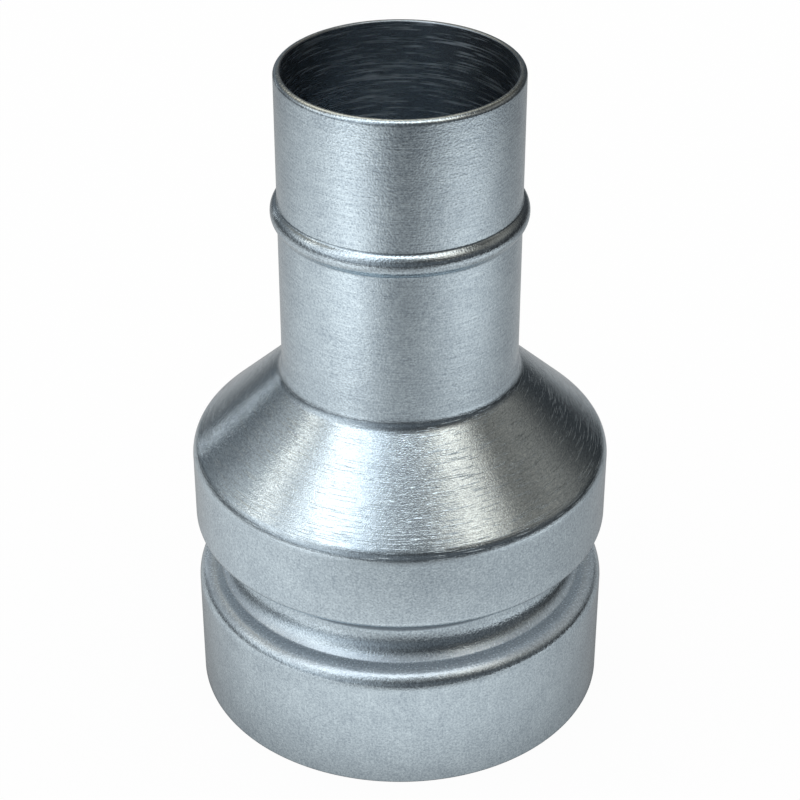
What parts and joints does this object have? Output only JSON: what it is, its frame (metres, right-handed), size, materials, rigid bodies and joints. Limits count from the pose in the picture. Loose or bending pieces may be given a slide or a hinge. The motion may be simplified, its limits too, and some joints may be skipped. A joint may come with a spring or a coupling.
{
  "type": "duct reducer",
  "caption": "Spun sheet-steel duct reducer: a beaded tube widens through a cone to a body band, a rolled groove and a straight collar, open from end to end.",
  "frame": {"origin": "on the duct's axis, in the plane of the large end's rim", "axes": "+Z along the duct's axis, from the large end up to the small end"},
  "size_m": [0.0894, 0.0894, 0.1455],
  "materials": {
    "zinc_coated_steel": "satin zinc-coated sheet with fine spin lines round the axis"
  },
  "bodies": {
    "root": {"reducer_shell": "zinc_coated_steel"}
  },
  "joints": []
}
